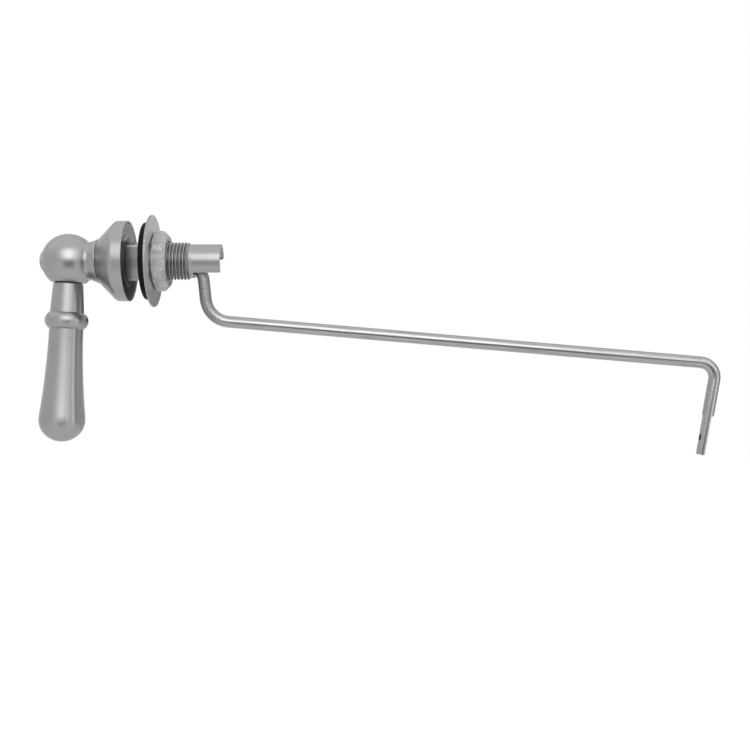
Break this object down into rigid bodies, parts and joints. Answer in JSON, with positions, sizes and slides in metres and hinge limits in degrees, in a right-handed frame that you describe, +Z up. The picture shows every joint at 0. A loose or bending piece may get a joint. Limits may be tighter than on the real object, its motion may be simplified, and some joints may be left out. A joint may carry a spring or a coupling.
{
  "type": "cistern lever",
  "caption": "Side-mount cistern lever: turned handle on a ball hub, hollow conical escutcheon, threaded shank with gasket, washer and nut, and a bent rod arm with a chain hole.",
  "frame": {"origin": "on the shaft axis, in the plane where the escutcheon's rim meets the outside of the tank wall", "axes": "+X along the shaft into the tank, +Z up, with the handle and the arm hanging straight down"},
  "size_m": [0.2883, 0.0386, 0.1014],
  "materials": {
    "satin_nickel": "satin nickel plate on die-cast zinc",
    "shank_nickel": "satin nickel plate on cut brass, with a rolled thread",
    "screw_nickel": "nickel plate, bright",
    "spindle_brass": "turned",
    "drawn_steel": "drawn wire, plated",
    "gasket_rubber": "matt, moulded",
    "washer_zinc": "stamped, zinc plated",
    "nut_zinc": "die-cast zinc alloy"
  },
  "bodies": {
    "shank": {"shank": "shank_nickel", "escutcheon": "satin_nickel"},
    "lever": {"handle_hub": "satin_nickel", "handle_lever": "satin_nickel", "handle_screw": "screw_nickel", "spindle": "spindle_brass", "arm_rod": "drawn_steel"},
    "washers": {"gasket": "gasket_rubber", "washer": "washer_zinc"},
    "nut": {"nut": "nut_zinc"}
  },
  "joints": [
    {"name": "lever_turn", "type": "hinge", "parent": "shank", "child": "lever", "pos_m": [0, 0, 0], "axis": [1, 0, 0], "range_deg": [-11, 71]},
    {"name": "washer_slide", "type": "slide", "parent": "shank", "child": "washers", "axis": [1, 0, 0], "range_m": [0, 0.00848]},
    {"name": "nut_turn", "type": "hinge", "parent": "washers", "child": "nut", "pos_m": [0, 0, 0], "axis": [-1, 0, 0], "range_deg": [0, 2160]}
  ],
  "couplings": [
    {"joint": "washer_slide", "follows": "nut_turn", "m_per_rad": 0.00022459}
  ]
}
